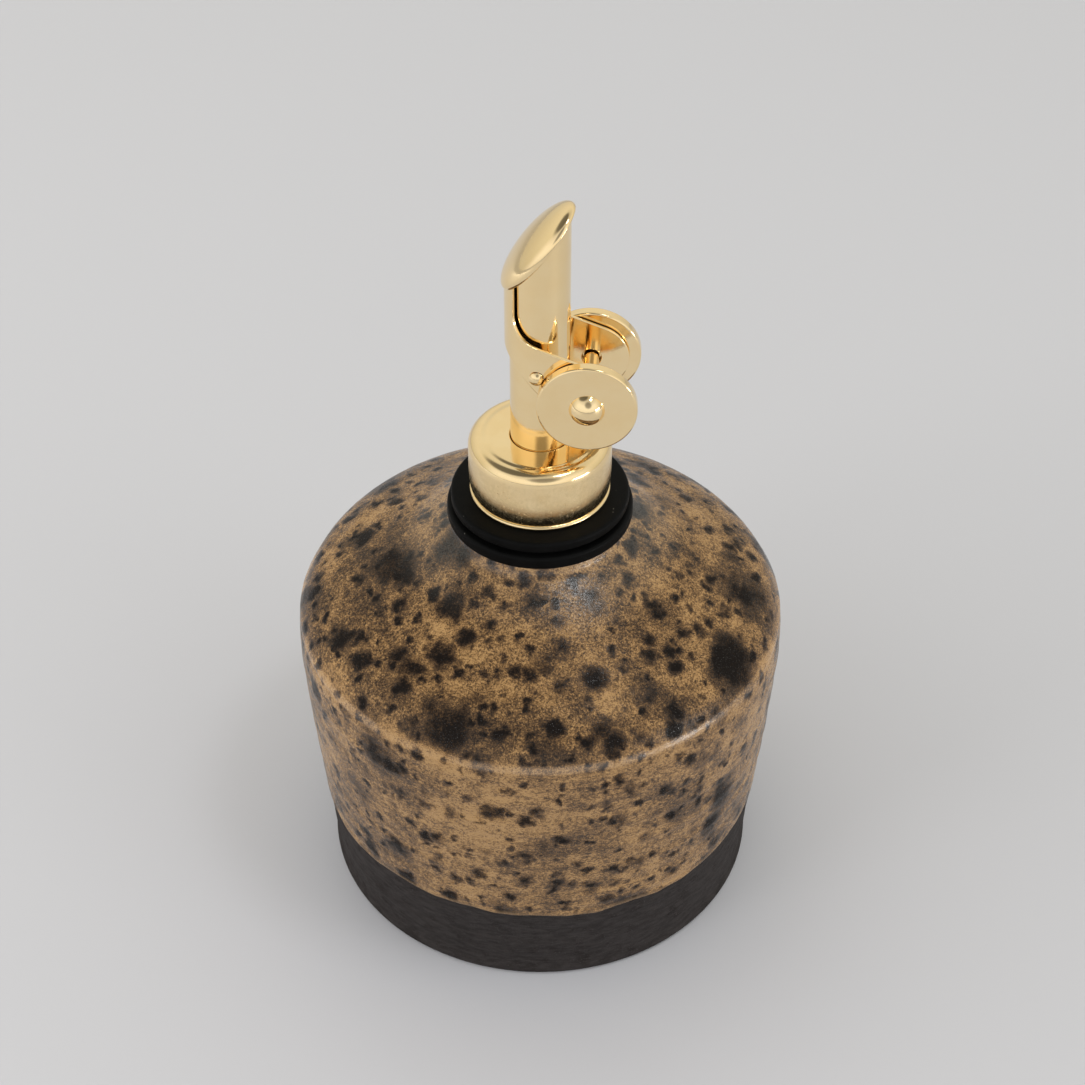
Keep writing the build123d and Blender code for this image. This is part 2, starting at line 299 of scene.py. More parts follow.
def gold_material(name, smooth, dull, satin_below=None):
    """Polished gold plate; below the given height it is satin."""
    g = Graph(name)
    p = g.coords()
    broad = g.noise(p, 0.22, 3.0, 0.55)
    fine = g.noise(p, 2.4, 4.0, 0.65)
    hair = g.noise(g.stretch(p, (0.4, 3.2, 3.2)), 2.0, 3.0, 0.7)
    g.set("Base Color", g.mix(g.range(broad, 0.3, 0.7), (0.975, 0.765, 0.44), (0.96, 0.735, 0.405)))
    g.set("Metallic", 1.0)
    rough = g.math("ADD", g.range(broad, 0.3, 0.7, smooth, dull),
                   g.range(fine, 0.5, 0.85, 0.0, 0.08))
    height = g.math("ADD", g.math("MULTIPLY", fine, 0.25), g.math("MULTIPLY", hair, 0.12))
    step = None
    if satin_below is not None:
        x, y, z = g.xyz(p)[0], g.xyz(p)[1], g.xyz(p)[2]
        satin = g.range(z, satin_below + 0.8, satin_below - 0.8)
        cloth = g.noise(g.stretch(p, (1.9, 1.9, 1.1)), 1.0, 4.0, 0.7)
        rough = g.math("ADD", rough, g.math("MULTIPLY", satin, g.range(cloth, 0.32, 0.70, 0.07, 0.17)))
        height = g.math("ADD", height, g.math("MULTIPLY", satin, g.math("MULTIPLY", cloth, 0.25)))
        # low pressed step round the top
        across = g.math("SQRT", g.math("ADD", g.math("MULTIPLY", x, x), g.math("MULTIPLY", y, y)))
        step = g.bump(g.range(across, 10.7, 9.5), 1.0, 0.00022)
    g.set("Roughness", rough)
    height = g.math("ADD", height, broad)
    g.set("Normal", g.bump(height, 0.25, 0.00006, step))
    return g.mat


def rubber_material():
    g = Graph("black_rubber")
    p = g.coords()
    fine = g.noise(p, 3.0, 4.0, 0.65)
    broad = g.noise(p, 0.3, 3.0, 0.6)
    d, tint = g.cells(p, 1.9)
    dust = g.math("MULTIPLY", g.range(d, 0.16, 0.07), g.math("LESS_THAN", g.red(tint), 0.30))
    base = g.mix(g.range(broad, 0.3, 0.7), (0.0020, 0.0021, 0.0021), (0.0036, 0.0037, 0.0037))
    g.set("Base Color", g.mix(g.math("MULTIPLY", dust, 0.55), base, (0.22, 0.21, 0.19)))
    g.set("Roughness", g.math("ADD", g.range(broad, 0.3, 0.7, 0.46, 0.58),
                              g.math("MULTIPLY", g.math("SUBTRACT", fine, 0.5), 0.2)))
    g.set("Specular IOR Level", 0.07)
    g.set("Normal", g.bump(g.math("ADD", fine, g.math("MULTIPLY", dust, 0.6)), 0.25, 0.00008))
    return g.mat


def steel_material():
    g = Graph("breather_steel")
    p = g.coords()
    line = g.noise(g.stretch(p, (3.0, 3.0, 0.08)), 2.0, 3.0, 0.6)
    g.set("Base Color", g.mix(line, (0.55, 0.54, 0.52), (0.66, 0.65, 0.63)))
    g.set("Metallic", 1.0)
    g.set("Roughness", g.range(line, 0.3, 0.7, 0.22, 0.38))
    g.set("Normal", g.bump(line, 0.2, 0.00004))
    return g.mat


GLAZE, LINER, RUBBER, STEEL = glaze_material(), liner_material(), rubber_material(), steel_material()
GOLD, SATIN = gold_material("polished_gold", 0.05, 0.11), gold_material("satin_gold", 0.06, 0.11, 98.3)


# ---------------------------------------------------------------- profile maths
def clamped_cubic(pts, t0, t1):
    """Cubic spline through the points, parameter = chord length, end tangents given as unit vectors."""
    pts = np.asarray(pts, float)
    h = np.linalg.norm(np.diff(pts, axis=0), axis=1)
    u = np.concatenate([[0], np.cumsum(h)])
    n = len(pts)
    a = np.zeros((n, n))
    b = np.zeros((n, 2))
    for k, t, free in ((0, t0, 0), (n - 1, t1, n - 2)):
        if t is None:
            a[k, k] = 2.0
            a[k, 1 if k == 0 else n - 2] = 1.0
            b[k] = 3 * (pts[free + 1] - pts[free]) / h[free if k == 0 else n - 2]
        else:
            a[k, k] = 1.0
            b[k] = np.asarray(t, float) / np.linalg.norm(t)
    for i in range(1, n - 1):
        a[i, i - 1], a[i, i], a[i, i + 1] = h[i], 2 * (h[i] + h[i - 1]), h[i - 1]
        b[i] = 3 * (h[i] * (pts[i] - pts[i - 1]) / h[i - 1] + h[i - 1] * (pts[i + 1] - pts[i]) / h[i])
    m = np.linalg.solve(a, b)

    def at(s):
        i = int(min(max(np.searchsorted(u, s) - 1, 0), n - 2))
        t = (s - u[i]) / h[i]
        return ((2 * t**3 - 3 * t**2 + 1) * pts[i] + (t**3 - 2 * t**2 + t) * h[i] * m[i]
                + (-2 * t**3 + 3 * t**2) * pts[i + 1] + (t**3 - t**2) * h[i] * m[i + 1])

    return at, u[-1]


def walk(at, length, step):
    """Points along a curve, spaced by step(point)."""
    out, s = [], 0.0
    while s < length:
        q = at(s)
        out.append((float(q[0]), float(q[1])))
        s += step(q)
    q = at(length)
    out.append((float(q[0]), float(q[1])))
    if len(out) > 2 and math.dist(out[-1], out[-2]) < 0.4 * step(q):
        out.pop(-2)
    return out


def arc3(a, b, c, n):
    """n+1 points on the arc a-b-c."""
    ax, ay, bx, by, cx, cy = *a, *b, *c
    d = 2 * (ax * (by - cy) + bx * (cy - ay) + cx * (ay - by))
    ux = ((ax**2 + ay**2) * (by - cy) + (bx**2 + by**2) * (cy - ay) + (cx**2 + cy**2) * (ay - by)) / d
    uy = ((ax**2 + ay**2) * (cx - bx) + (bx**2 + by**2) * (ax - cx) + (cx**2 + cy**2) * (bx - ax)) / d
    r = math.hypot(ax - ux, ay - uy)
    t0, t1, t2 = (math.atan2(q[1] - uy, q[0] - ux) for q in (a, b, c))
    d1 = (t1 - t0 + math.pi) % (2 * math.pi) - math.pi
    d2 = (t2 - t1 + math.pi) % (2 * math.pi) - math.pi
    return [(ux + r * math.cos(t0 + (d1 + d2) * k / n), uy + r * math.sin(t0 + (d1 + d2) * k / n))
            for k in range(n + 1)]


def rounded(points, radius, n=5, keep_ends=True):
    """An open chain with each inner corner rounded; radius is one number or one per inner corner."""
    out = [points[0]]
    for i in range(1, len(points) - 1):
        r = radius[i - 1] if isinstance(radius, (list, tuple)) else radius
        a, p, c = (np.array(q, float) for q in (points[i - 1], points[i], points[i + 1]))
        u, v = a - p, c - p
        lu, lv = np.linalg.norm(u), np.linalg.norm(v)
        u, v = u / lu, v / lv
        ang = math.acos(max(-1.0, min(1.0, float(u @ v))))
        if r <= 0 or ang > math.radians(176):
            out.append(tuple(p))
            continue
        t = min(r / math.tan(ang / 2), 0.46 * lu, 0.46 * lv)
        rr = t * math.tan(ang / 2)
        cen = p + (u + v) / np.linalg.norm(u + v) * rr / math.sin(ang / 2)
        s, e = p + u * t - cen, p + v * t - cen
        turn = math.acos(max(-1.0, min(1.0, float(s @ e) / rr**2)))
        for k in range(n + 1):
            w = k / n
            q = (math.sin((1 - w) * turn) * s + math.sin(w * turn) * e) / math.sin(turn)
            out.append(tuple(cen + q))
    out.append(points[-1])
    return [(float(a), float(b)) for a, b in out]


def filled(points, step):
    """Adds points so that no run is longer than step."""
    out = [points[0]]
    for a, b in zip(points, points[1:]):
        n = max(1, int(math.ceil(math.dist(a, b) / step)))
        out += [(a[0] + (b[0] - a[0]) * k / n, a[1] + (b[1] - a[1]) * k / n) for k in range(1, n + 1)]
    return out


def mesh_object(name, verts, faces, materials):
    me = bpy.data.meshes.new(name)
    me.from_pydata(verts, [], faces)
    me.update()
    ob = bpy.data.objects.new(name, me)
    scene.collection.objects.link(ob)
    for m in materials:
        me.materials.append(m)
    me.shade_smooth()
    return ob


def lathe(name, chain, segs, materials, closed=False, place=None):
    """Turns an (r, z) chain in mm about Z. Ends at r = 0 become poles. place(i, j, theta) may move a point."""
    verts, rings = [], []
    for i, (r, z) in enumerate(chain):
        if r < 1e-6:
            rings.append([len(verts)])
            verts.append((0.0, 0.0, z * MM))
            continue
        ring = []
        for j in range(segs):
            th = 2 * math.pi * j / segs
            rr, zz = place(i, j, th) if place else (r, z)
            ring.append(len(verts))
            verts.append((rr * math.cos(th) * MM, rr * math.sin(th) * MM, zz * MM))
        rings.append(ring)
    faces, owner = [], []
    pairs = list(zip(range(len(rings)), range(1, len(rings))))
    if closed:
        pairs.append((len(rings) - 1, 0))
    for ia, ib in pairs:
        a, b = rings[ia], rings[ib]
        for j in range(segs):
            k = (j + 1) % segs
            if len(a) == 1:
                faces.append((a[0], b[j], b[k]))
            elif len(b) == 1:
                faces.append((a[j], b[0], a[k]))
            else:
                faces.append((a[j], b[j], b[k], a[k]))
            owner.append(ia)
    ob = mesh_object(name, verts, faces, materials)
    return ob, owner, rings


# ----------------------------------------------------------------------- bottle
OUTER = [(41.95, 1.2), (42.94, 12.5), (43.99, 25.0), (45.1, 38.0), (45.9, 50.5), (46.05, 57.0),
         (45.72, 60.0), (44.9, 62.3), (43.0, 65.0), (34.0, 70.6), (24.05, 76.1), (18.2, 79.6), (16.2, 81.2)]
INNER = [(37.4, 11.5), (39.2, 25.0), (40.3, 38.0), (41.0, 50.0), (40.9, 56.0), (39.6, 59.6),
         (36.2, 62.6), (28.0, 66.8), (18.0, 70.8)]
GLAZE_Z = 19.0


def glaze_edge(th):
    """Height of the glaze's lower edge round the bottle, mm."""
    c, s = math.cos(th), math.sin(th)
    return (GLAZE_Z + 1.1 * noise.noise(Vector((1.1 * c, 1.1 * s, 4.2)))
            + 0.7 * noise.noise(Vector((3.3 * c, 3.3 * s, 9.1)))
            + 0.35 * noise.noise(Vector((11.0 * c, 11.0 * s, 1.7))))


def sstep(x, lo, hi):
    t = min(1.0, max(0.0, (x - lo) / (hi - lo)))
    return t * t * (3 - 2 * t)


def build_bottle():
    fine = 0.45
    outer_at, outer_len = clamped_cubic(OUTER, (0.09, 1.0), (-0.65, 1.0))
    outer = walk(outer_at, outer_len, lambda q: 0.22 if 15.5 < q[1] < 22.5 else fine)[::-1]
    inner_at, inner_len = clamped_cubic(INNER, None, None)
    inner = walk(inner_at, inner_len, lambda q: 2.0)
    floor = filled([(0.0, 6.5), (32.5, 6.5)], 5.0)
    cove = arc3((32.5, 6.5), (36.0, 8.0), (37.4, 11.5), 8)
    neck = rounded([(18.0, 70.8), (12.2, 72.2), (11.0, 73.2), (11.0, 82.5), (15.75, 82.5),
                    (16.2, 81.2)], [0.8, 0.8, 0.7, 0.75], 6)
    neck = filled(neck, 1.2)
    foot = arc3((41.95, 1.2), (41.62, 0.38), (40.8, 0.0), 6)
    under = filled(rounded([(40.8, 0.0), (31.0, 0.0), (29.2, 1.8), (0.0, 1.8)], [0.6, 0.8], 4), 5.0)
    chain = floor + cove[1:] + inner[1:] + neck[1:] + outer[1:] + foot[1:] + under[1:]
    i_neck = len(floor) + len(cove) + len(inner) - 2
    i_out = i_neck + len(neck) - 1
    i_foot = i_out + len(outer) - 1
    normals = []
    for i in range(len(chain)):
        a, b = chain[max(i - 1, 0)], chain[min(i + 1, len(chain) - 1)]
        t = (b[0] - a[0], b[1] - a[1])
        ln = math.hypot(*t) or 1.0
        normals.append((-t[1] / ln, t[0] / ln))
    height = np.zeros(0)
    edge_z = {}

    def place(i, j, th):
        r, z = chain[i]
        if not i_neck <= i <= i_foot:
            return r, z
        c, s = math.cos(th), math.sin(th)
        fade = sstep(z, 1.2, 5.0) * sstep(81.0 - z, 0.0, 3.0)
        wob = 0.5 * noise.noise(Vector((0.9 * c, 0.9 * s, 0.02 * z)))
        rise = z + 0.8 * noise.noise(Vector((1.4 * c, 1.4 * s, 0.05 * z + 7.0)))
        wall = sstep(z, 63.0, 55.0)
        rings = wall * (0.12 * math.sin(2 * math.pi * rise / 7.3 + 0.6) + 0.08 * math.sin(2 * math.pi * rise / 3.1 + 2.0))
        rings += (1 - wall) * 0.07 * math.sin(2 * math.pi * (r + 0.8 * noise.noise(Vector((c, s, 3.0)))) / 5.2)
        patch = 0.6 + 0.8 * noise.noise(Vector((1.7 * c, 1.7 * s, 0.06 * z + 2.0)))
        peel = 0.035 * noise.noise(Vector((r * c * 0.45, r * s * 0.45, z * 0.45)))
        d = -0.30 + fade * (0.12 * wob + rings * patch * 0.7 + peel)
        d += 0.27 * math.exp(-((rise - 60.3) / 0.52) ** 2) * (0.6 + 0.5 * min(patch, 0.78))
        if j not in edge_z:
            edge_z[j] = glaze_edge(th)
        up = z - edge_z[j]
        d -= 0.30 * sstep(-up, -0.35, 0.15)
        d += 0.10 * math.exp(-((up - 0.75) / 0.55) ** 2)
        d *= sstep(z, 1.0, 3.0) if z < 3.0 else 1.0
        d *= sstep(82.0 - z, 0.0, 2.0)
        nr, nz = normals[i]
        return r + nr * d, z + nz * d

    segs = 640
    ob, owner, rings = lathe("stoneware_body", chain, segs, [GLAZE, LINER], place=place)
    me = ob.data
    up = np.full(len(me.vertices), 30.0, dtype=np.float32)
    for i, ring in enumerate(rings):
        if i > i_foot:
            up[ring] = -10.0
        elif i >= i_out:
            for j, v in enumerate(ring):
                up[v] = me.vertices[v].co.z / MM - edge_z[j]
    at = me.attributes.new("above_glaze_edge", "FLOAT", "POINT")
    at.data.foreach_set("value", up)
    idx = np.array([1 if o < i_neck + 4 else 0 for o in owner], dtype=np.int32)
    me.polygons.foreach_set("material_index", idx)
    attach(ob, "bottle")
    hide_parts("bottle")
    return ob


bottle = build_bottle()

# --------------------------------------------------------------------- stopper
def close_up(ob):
    """Points every face of a closed mesh outwards."""
    bm = bmesh.new()
    bm.from_mesh(ob.data)
    bmesh.ops.recalc_face_normals(bm, faces=bm.faces)
    bm.to_mesh(ob.data)
    bm.free()
    ob.data.shade_smooth()


def hold(ob, body, node):
    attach(ob, body)
    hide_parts(node)
    return ob


def build_stopper():
    corners = [(5.3, 90.0), (5.3, 99.3), (10.1, 99.3), (11.7, 97.5), (11.7, 87.9), (16.3, 87.9), (16.3, 85.9),
               (15.2, 85.9), (15.2, 85.1), (17.05, 85.1), (17.05, 82.6), (9.4, 82.6)]
    radii = [0.0, 0.2, 0.3, 0.0, 0.62, 0.42, 0.16, 0.16, 0.62, 0.5, 0.3]
    for z in (79.6, 75.8, 72.0, 68.2):
        corners += [(9.4, z + 2.0), (10.9, z + 1.3), (10.65, z + 0.5), (9.4, z)]
        radii += [0.5, 0.35, 0.35, 0.4]
    corners += [(9.0, 65.2), (8.0, 64.0), (5.3, 64.0), (5.3, 90.0)]
    radii += [0.6, 0.6, 0.2]
    chain = filled(rounded(corners, radii, 7), 0.9)[:-1]

    def place(i, j, th):
        # the moulding is a touch uneven
        r, z = chain[i]
        if r < 13.0:
            return r, z
        c, s = math.cos(th), math.sin(th)
        return r - 0.03 + 0.03 * noise.noise(Vector((2.2 * c, 2.2 * s, 0.3 * z))), z

    ob, _, _ = lathe("rubber_stopper", chain, 288, [RUBBER], closed=True, place=place)
    close_up(ob)
    return hold(ob, "pourer", "stopper")


build_stopper()

# -------------------------------------------------------------------- flip lid
U_CX, U_R, U_T = 0.7, 6.525, 0.65          # middle of the bent plate and its thickness
QUARTER = math.pi * U_R / 2
PIV = (-0.1, 117.3)
EAR = (8.7, 112.8, 6.7)
STRIP_X, ARM_SLOPE = -4.2, 0.40
MOUTH_A, MOUTH_H = math.radians(52.3), 139.37
LID_GAP, LID_CX = 0.2, 0.2
LID_A, LID_B, LID_C, LID_RIM, LID_T = 9.8, 7.0, 2.75, 0.4, 0.9
CA, SA = math.cos(MOUTH_A), math.sin(MOUTH_A)
LID_O = (LID_CX - LID_GAP * SA, MOUTH_H + LID_CX * SA / CA + LID_GAP * CA)


def unroll(x):
    """Way round the U from the middle of its back to the place where the plate is at x."""
    if x >= U_CX:
        return QUARTER + x - U_CX
    return U_R * math.acos(min(1.0, (U_CX - x) / U_R))


def reroll(u):
    return U_CX + abs(u) - QUARTER if abs(u) > QUARTER else U_CX - U_R * math.cos(u / U_R)


def bent(u, z, w):
    """Point and outward direction of the bent plate, w outside its middle."""
    side = 1.0 if u >= 0 else -1.0
    if abs(u) > QUARTER:
        return (U_CX + abs(u) - QUARTER, side * (U_R + w), z), (0.0, side, 0.0)
    t = u / U_R
    return ((U_CX - (U_R + w) * math.cos(t), (U_R + w) * math.sin(t), z), (-math.cos(t), math.sin(t), 0.0))


def evenly(points, step):
    """The same open chain with points a step apart."""
    pts = np.asarray(points, float)
    run = np.concatenate([[0], np.cumsum(np.linalg.norm(np.diff(pts, axis=0), axis=1))])
    keep = np.concatenate([[True], np.diff(run) > 1e-9])
    pts, run = pts[keep], run[keep]
    n = max(1, int(round(run[-1] / step)))
    at = np.linspace(0, run[-1], n + 1)
    return [(float(a), float(b)) for a, b in zip(np.interp(at, run, pts[:, 0]), np.interp(at, run, pts[:, 1]))]


def saddle_outline():
    """Half outline of the flattened plate, from the top of the strip round to the back of the bend."""
    fall = math.atan(ARM_SLOPE)
    top = (EAR[0] + EAR[2] * math.sin(fall), EAR[1] + EAR[2] * math.cos(fall))
    knee = (STRIP_X, top[1] + ARM_SLOPE * (top[0] - STRIP_X))
    a35 = math.radians(35)
    ear_end = (EAR[0] - EAR[2] * math.sin(a35), EAR[1] - EAR[2] * math.cos(a35))
    low_a, low_b = (-7.2, PIV[1] + 5.2), (0.4, PIV[1] - 3.7)

    def roof(x):
        """Height of the strip's top, just inside the lid's rim."""
        return LID_O[1] + (x - LID_O[0]) * SA / CA + 0.5 / CA

    side = rounded([(STRIP_X, roof(STRIP_X)), knee, top], 5.0, 24)
    side += arc3(top, (EAR[0] + EAR[2], EAR[1]), ear_end, 60)[1:]
    side += rounded([ear_end, (2.1, EAR[1] - 1.3), low_b, low_a], 2.0, 16)[1:]
    flat = []
    for x, z in filled(side, 0.08):
        if x < U_CX - U_R + 1e-4:
            break
        flat.append((unroll(x), z))
    slope = (low_a[1] - low_b[1]) / (low_a[0] - low_b[0])
    u_end = flat[-1][0]
    back = [(u, low_b[1] + (reroll(u) - low_b[0]) * slope) for u in np.linspace(u_end, 0.0, 30)[1:]]
    lid_edge = [(float(u), roof(reroll(u))) for u in np.linspace(0.0, unroll(STRIP_X), 24)]
    corner = lid_edge[-1]
    start = next(k for k, q in enumerate(flat) if q[1] < corner[1] - 1.4)
    turn = rounded([lid_edge[-7], corner, flat[start]], 0.5, 8)
    return evenly(lid_edge[:-7] + turn + flat[start + 1:] + back, 0.2)


def inward(loop, d):
    """A closed counter-clockwise loop moved inwards by d."""
    pts = np.asarray(loop, float)
    e0 = pts - np.roll(pts, 1, axis=0)
    e1 = np.roll(pts, -1, axis=0) - pts
    n0 = np.stack([-e0[:, 1], e0[:, 0]], 1) / np.linalg.norm(e0, axis=1)[:, None]
    n1 = np.stack([-e1[:, 1], e1[:, 0]], 1) / np.linalg.norm(e1, axis=1)[:, None]
    m = n0 + n1
    m /= np.maximum(0.35, (m * n0).sum(1))[:, None]
    return pts + m * d, m / np.maximum(1e-9, np.linalg.norm(m, axis=1))[:, None]


def inside(pts, loop):
    """Which of the points lie inside a closed loop."""
    pts, loop = np.asarray(pts, float), np.asarray(loop, float)
    hit = np.zeros(len(pts), bool)
    for (x0, y0), (x1, y1) in zip(loop, np.roll(loop, -1, axis=0)):
        cross = (y0 > pts[:, 1]) != (y1 > pts[:, 1])
        with np.errstate(divide="ignore", invalid="ignore"):
            at = x0 + (pts[:, 1] - y0) * (x1 - x0) / (y1 - y0)
        hit ^= cross & (pts[:, 0] < at)
    return hit


def build_saddle():
    half = saddle_outline()
    loop = half + [(-u, z) for u, z in half[1:-1]][::-1]
    area = sum(a[0] * b[1] - b[0] * a[1] for a, b in zip(loop, loop[1:] + loop[:1]))
    if area < 0:
        loop = loop[::-1]
    holes = []
    for cx, cz, r in ((PIV[0], PIV[1], 1.05), (EAR[0], EAR[1], 1.7)):
        n = 40
        for side in (1, -1):
            ring = [(side * unroll(cx + r * math.cos(2 * math.pi * k / n)), cz + r * math.sin(2 * math.pi * k / n))
                    for k in range(n)]
            a2 = sum(a[0] * b[1] - b[0] * a[1] for a, b in zip(ring, ring[1:] + ring[:1]))
            holes.append(ring if a2 < 0 else ring[::-1])      # clockwise, so inwards is into the plate
    loops = [loop] + holes
    h, rb, steps = U_T / 2, 0.2, 5
    verts, normals, faces = [], [], []

    def add(u, z, w, slant=None, lean=0.0):
        """One point; slant is the way out of the plate in its own plane, lean how far the face turns that way."""
        p, n = bent(u, z, w)
        up = 1.0 if w >= 0 else -1.0
        if slant is None:
            nn = Vector(n) * up
        else:
            q, _ = bent(u + 1e-4 * slant[0], z + 1e-4 * slant[1], w)
            out = (Vector(q) - Vector(p)).normalized()
            nn = out * math.cos(lean) + Vector(n) * up * math.sin(lean)
        verts.append((p[0] * MM, p[1] * MM, p[2] * MM))
        normals.append(tuple(nn.normalized()))
        return len(verts) - 1

    edge_of = {1: [], -1: []}
    for lp in loops:
        walls = []
        for up in (1, -1):
            for k in range(steps + 1):
                lean = math.pi / 2 * (1 - k / steps) if up == 1 else math.pi / 2 * (k / steps)
                pts, inn = inward(lp, rb * (1 - math.cos(lean)))
                w = up * (h - rb + rb * math.sin(lean))
                walls.append([add(pts[i][0], pts[i][1], w, (-inn[i][0], -inn[i][1]), lean) for i in range(len(lp))])
        for a, b in zip(walls, walls[1:]):
            for i in range(len(lp)):
                j = (i + 1) % len(lp)
                faces.append((a[i], b[i], b[j], a[j]))
        flat_pts, _ = inward(lp, rb)
        edge_of[1].append((walls[0], flat_pts))
        edge_of[-1].append((walls[-1], flat_pts))

    outer_flat = edge_of[1][0][1]
    us, zs = outer_flat[:, 0], outer_flat[:, 1]
    grid = [(u, z) for u in np.arange(us.min() + 0.25, us.max(), 0.5) for z in np.arange(zs.min() + 0.3, zs.max(), 0.9)]
    ok = inside(grid, inward(outer_flat, 0.22)[0])
    for ring in edge_of[1][1:]:
        ok &= ~inside(grid, inward(ring[1], 0.22)[0])
    grid = [q for q, k in zip(grid, ok) if k]
    for up in (1, -1):
        flat, index, edges = [], [], []
        for ids, pts in edge_of[up]:
            base = len(flat)
            flat += [Vector((float(a), float(b))) for a, b in pts]
            index += ids
            edges += [(base + i, base + (i + 1) % len(ids)) for i in range(len(ids))]
        for u, z in grid:
            flat.append(Vector((float(u), float(z))))
            index.append(add(float(u), float(z), up * h))
        got = geometry.delaunay_2d_cdt(flat, edges, [], 0, 1e-7)
        origin = got[3]
        mid = [[(got[0][t[0]][k] + got[0][t[1]][k] + got[0][t[2]][k]) / 3 for k in (0, 1)] for t in got[2]]
        ok = inside(mid, outer_flat)
        for ids, pts in edge_of[up][1:]:
            ok &= ~inside(mid, pts)
        for t, k in zip(got[2], ok):
            if k:
                faces.append(tuple(index[origin[v][0]] for v in t))
    ob = mesh_object("flip_lid_saddle", verts, faces, [GOLD])
    close_up(ob)
    ob.data.normals_split_custom_set_from_vertices(normals)
    return hold(ob, "lid", "flip_lid")


def build_lid():
    rings = []
    for k in range(41):
        f = math.pi / 2 * (1 - k / 40)
        rings.append((LID_A * math.cos(f), LID_B * math.cos(f), LID_C * math.sin(f)))
    for z in (-0.06, -0.12, -0.16):
        q = math.sqrt(1 - (z / LID_C) ** 2)
        rings.append((LID_A * q, LID_B * q, z))
    a0, b0, z0 = rings[-1]
    for k in range(1, 9):
        f = math.pi / 2 * k / 8
        rings.append((a0 - 0.24 * (1 - math.cos(f)), b0 - 0.24 * (1 - math.cos(f)), z0 - 0.24 * math.sin(f)))
    q = math.sqrt(1 - (LID_RIM / (LID_C - LID_T)) ** 2)
    ai, bi = (LID_A - LID_T) * q, (LID_B - LID_T) * q
    rings += [(ai + 0.2, bi + 0.2, -0.4), (ai + 0.1, bi + 0.1, -0.38), (ai + 0.03, bi + 0.03, -0.33)]
    f0 = math.asin(-0.27 / (LID_C - LID_T))
    for k in range(30):
        f = f0 + (math.pi / 2 - f0) * k / 30
        rings.append(((LID_A - LID_T) * math.cos(f), (LID_B - LID_T) * math.cos(f), (LID_C - LID_T) * math.sin(f)))
    rings.append((0.0, 0.0, LID_C - LID_T))
    segs = 144
    verts, ids, faces = [], [], []

    def world(x, y, z):
        z += LID_RIM
        return ((LID_O[0] + x * CA - z * SA) * MM, y * MM, (LID_O[1] + x * SA + z * CA) * MM)

    for a, b, z in rings:
        if a < 1e-9:
            ids.append([len(verts)])
            verts.append(world(0.0, 0.0, z))
            continue
        ids.append(list(range(len(verts), len(verts) + segs)))
        verts += [world(a * math.cos(2 * math.pi * j / segs), b * math.sin(2 * math.pi * j / segs), z)
                  for j in range(segs)]
    for a, b in zip(ids, ids[1:]):
        for j in range(segs):
            k = (j + 1) % segs
            if len(a) == 1:
                faces.append((a[0], b[j], b[k]))
            elif len(b) == 1:
                faces.append((a[j], b[0], a[k]))
            else:
                faces.append((a[j], b[j], b[k], a[k]))
    ob = mesh_object("flip_lid_dome", verts, faces, [GOLD])
    close_up(ob)
    return hold(ob, "lid", "flip_lid")


build_saddle()
build_lid()


# ----------------------------------------------------------- carried-over pieces
def paint(node, mat):
    ob = NODES[node]
    ob.data.materials.clear()
    ob.data.materials.append(mat)


for n in ("spout_tube", "near_pivot_rivet", "far_pivot_rivet", "near_weight", "far_weight", "weight_rivet"):
    paint(n, GOLD)
paint("collar", SATIN)
paint("vent_tube", STEEL)


# ------------------------------------------------------------------------ stage
def floor_plane():
    n = 48
    verts = [(0.0, 0.0, 0.0)]
    faces = []
    for k in range(n):
        a = 2 * math.pi * k / n
        verts.append((6.0 * math.cos(a), 6.0 * math.sin(a), 0.0))
    for k in range(n):
        faces.append((0, 1 + k, 1 + (k + 1) % n))
    g = Graph("pale_floor")
    p = g.coords((1, 1, 1))
    soft = g.noise(p, 1.3, 2.0, 0.5)
    g.set("Base Color", g.mix(soft, (0.645, 0.650, 0.690), (0.685, 0.690, 0.732)))
    g.set("Roughness", g.range(soft, 0.3, 0.7, 0.55, 0.65))
    ob = mesh_object("floor", verts, faces, [g.mat])


floor_plane()


def area(name, place, target, size, watts, colour=(1, 1, 1), mirrored=True):
    li = bpy.data.lights.new(name, "AREA")
    li.shape = "RECTANGLE"
    li.size, li.size_y = size
    li.energy = watts
    li.color = colour
    ob = bpy.data.objects.new(name, li)
    scene.collection.objects.link(ob)
    ob.location = place
    d = Vector(target) - Vector(place)
    ob.rotation_euler = d.to_track_quat("-Z", "Y").to_euler()
    ob.visible_glossy = mirrored
    return ob


area("overhead", (0.33, -0.15, 0.95), (0, 0, 0.07), (0.21, 0.17), 0.8, (0.96, 0.98, 1.0))
area("right_window", (0.92, -0.42, 0.14), (0, 0, 0.07), (0.45, 0.12), 1.9, (1.0, 0.99, 0.97))
area("left_window", (-0.74, -0.62, 0.42), (0, 0, 0.07), (0.30, 0.30), 1.4, (1.0, 0.99, 0.97), False)
area("left_fill", (-1.0, -0.10, 0.28), (0, 0, 0.06), (0.9, 0.45), 3.3, (1.0, 0.985, 0.96), False)
area("right_fill", (1.0, -0.10, 0.24), (0, 0, 0.05), (0.9, 0.40), 1.1, (1.0, 0.985, 0.96), False)
area("ceiling_fill", (-0.25, 0.34, 0.92), (0, 0.12, 0.03), (0.6, 0.6), 0.95, (1.0, 0.985, 0.95), False)

world = bpy.data.worlds.new("studio")
scene.world = world
world.use_nodes = True
wt = world.node_tree
bg = next(n for n in wt.nodes if n.type == "BACKGROUND")
tc = wt.nodes.new("ShaderNodeTexCoord")
sep = wt.nodes.new("ShaderNodeSeparateXYZ")
wt.links.new(tc.outputs["Generated"], sep.inputs[0])


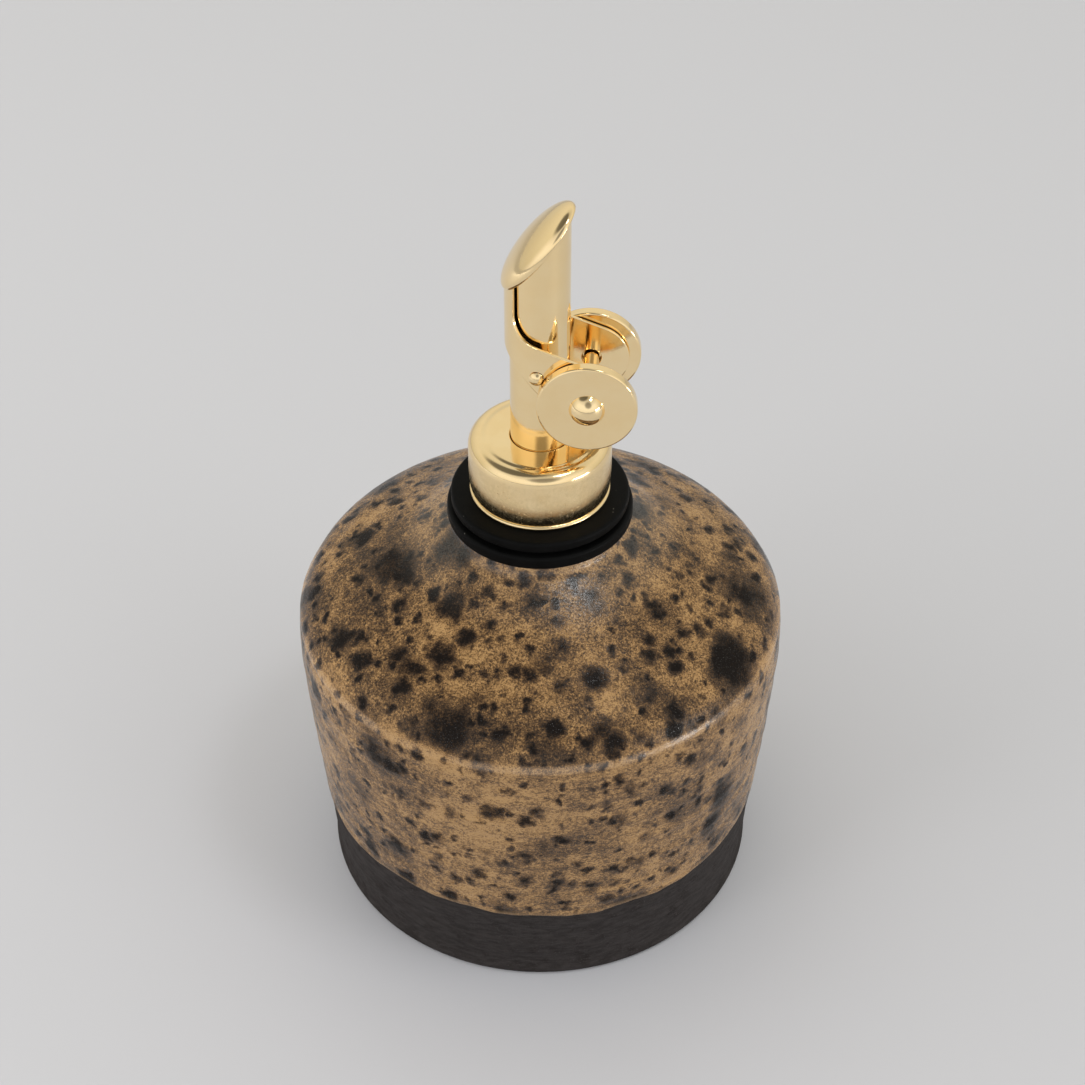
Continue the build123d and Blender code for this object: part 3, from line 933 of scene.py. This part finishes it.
def sky(stops, tint):
    """Brightness of the room by the sine of the elevation."""
    r = wt.nodes.new("ShaderNodeValToRGB")
    wt.links.new(sep.outputs[2], r.inputs[0])
    els = r.color_ramp.elements
    for k, (pos, v) in enumerate(stops):
        e = els[k] if k < 2 else els.new(pos)
        e.position, e.color = pos, (v, tint[0] * v, tint[1] * v, 1.0)
    return r.outputs[0]


# a pale backdrop behind, the bright room in front, a dimmer ceiling
behind = sky([(0.0, 0.50), (1.0, 0.46), (0.15, 0.55), (0.40, 0.62), (0.62, 0.66), (0.78, 0.60), (0.90, 0.52)],
             (0.97, 0.86))
ahead = sky([(0.0, 0.72), (1.0, 0.45), (0.30, 0.84), (0.56, 0.83), (0.76, 0.66), (0.90, 0.54)], (0.995, 0.982))
turn = wt.nodes.new("ShaderNodeMapRange")
turn.interpolation_type = "SMOOTHSTEP"
wt.links.new(sep.outputs[1], turn.inputs[0])
turn.inputs[1].default_value, turn.inputs[2].default_value = -0.55, 0.10
blend = wt.nodes.new("ShaderNodeMix")
blend.data_type = "RGBA"
wt.links.new(turn.outputs[0], blend.inputs[0])
wt.links.new(ahead, blend.inputs[6])
wt.links.new(behind, blend.inputs[7])
# dim patches in front and overhead, which the metal mirrors
room = blend.outputs[2]
for direction, span in (((0.15, -0.72, 0.678), (0.90, 0.985, 1.0, 0.35)),
                        ((-0.33, 0.08, 0.94), (0.86, 0.955, 1.0, 0.25))):
    lean = wt.nodes.new("ShaderNodeVectorMath")
    lean.operation = "DOT_PRODUCT"
    lean.inputs[1].default_value = direction
    wt.links.new(tc.outputs["Generated"], lean.inputs[0])
    shade = wt.nodes.new("ShaderNodeMapRange")
    shade.interpolation_type = "SMOOTHSTEP"
    wt.links.new(lean.outputs["Value"], shade.inputs[0])
    for k, v in enumerate(span, 1):
        shade.inputs[k].default_value = v
    dim = wt.nodes.new("ShaderNodeMix")
    dim.data_type, dim.blend_type = "RGBA", "MULTIPLY"
    dim.inputs[0].default_value = 1.0
    wt.links.new(room, dim.inputs[6])
    wt.links.new(shade.outputs[0], dim.inputs[7])
    room = dim.outputs[2]
wt.links.new(room, bg.inputs[0])
bg.inputs[1].default_value = 1.25

scene.view_settings.view_transform = "Standard"
scene.view_settings.look = "None"
scene.view_settings.exposure = 0.0

# ----------------------------------------------------------------------- camera
AZ = math.radians(4.0)
PITCH = math.radians(40.93)
DIST = 420.5
AIM = Vector((0.45, 0.0, 74.35))
cam_data = bpy.data.cameras.new("camera")
cam_data.sensor_width = 36.0
cam_data.lens = 36.0 * 2260.0 / 1085.0
cam_data.clip_start = 0.01
cam_data.clip_end = 50.0
camera = bpy.data.objects.new("camera", cam_data)
scene.collection.objects.link(camera)
spin = Matrix.Rotation(AZ, 3, "Z")
aim = spin @ AIM
eye = spin @ (AIM + Vector((0.0, -DIST * math.cos(PITCH), DIST * math.sin(PITCH))))
camera.location = eye * MM
camera.rotation_euler = ((aim - eye)).to_track_quat("-Z", "Y").to_euler()
scene.camera = camera
